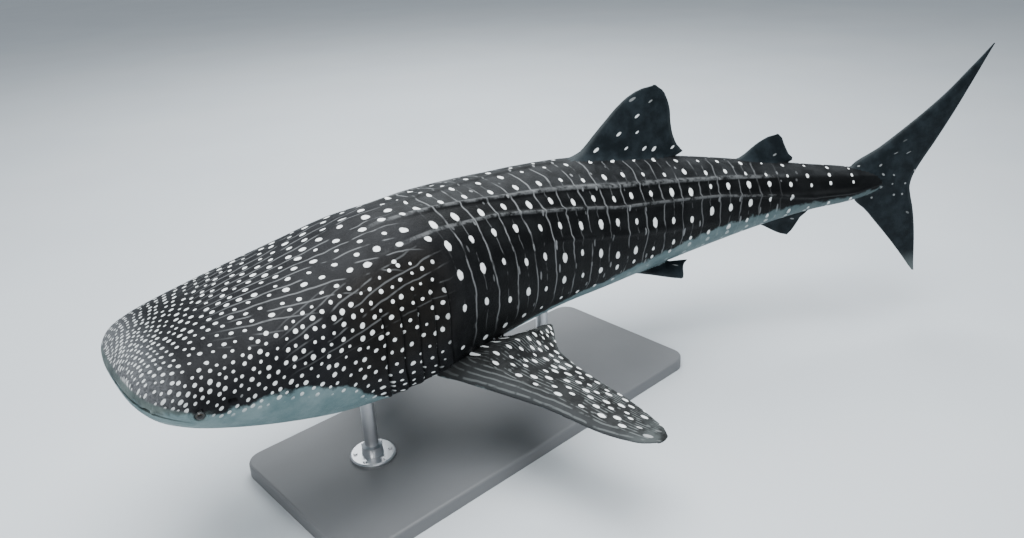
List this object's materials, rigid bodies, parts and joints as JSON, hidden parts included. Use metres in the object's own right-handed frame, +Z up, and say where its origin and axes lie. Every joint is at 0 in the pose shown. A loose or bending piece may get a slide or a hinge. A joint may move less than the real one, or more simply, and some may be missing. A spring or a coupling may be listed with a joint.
{
  "type": "whale shark museum model",
  "caption": "Life-size still model of a swimming whale shark, spotted and ridged, held by a flat base and two short rods.",
  "frame": {"origin": "centre of the underside of the stand's base, on the floor", "axes": "+Z up, the head points along -X, the animal's left side faces -Y"},
  "size_m": [5.1392, 2.9126, 1.9084],
  "materials": {
    "skin": "charcoal skin with white spots and pale lines over a pale belly, satin",
    "eye": "dark, glossy",
    "stand_plate": "dark grey, satin",
    "stand_rod": "brushed"
  },
  "bodies": {
    "root": {"head": "skin", "lower_jaw": "skin", "gill_region": "skin", "trunk_front": "skin", "trunk_rear": "skin", "tail_front": "skin", "tail_stock": "skin", "first_dorsal_fin": "skin", "second_dorsal_fin": "skin", "anal_fin": "skin", "caudal_fin_upper_lobe": "skin", "caudal_fin_lower_lobe": "skin", "pectoral_fin_left": "skin", "pectoral_fin_right": "skin", "pelvic_fin_left": "skin", "pelvic_fin_right": "skin", "eye_left": "eye", "eye_right": "eye", "stand_base": "stand_plate", "stand_rod_front": "stand_rod", "stand_rod_rear": "stand_rod"}
  },
  "joints": []
}
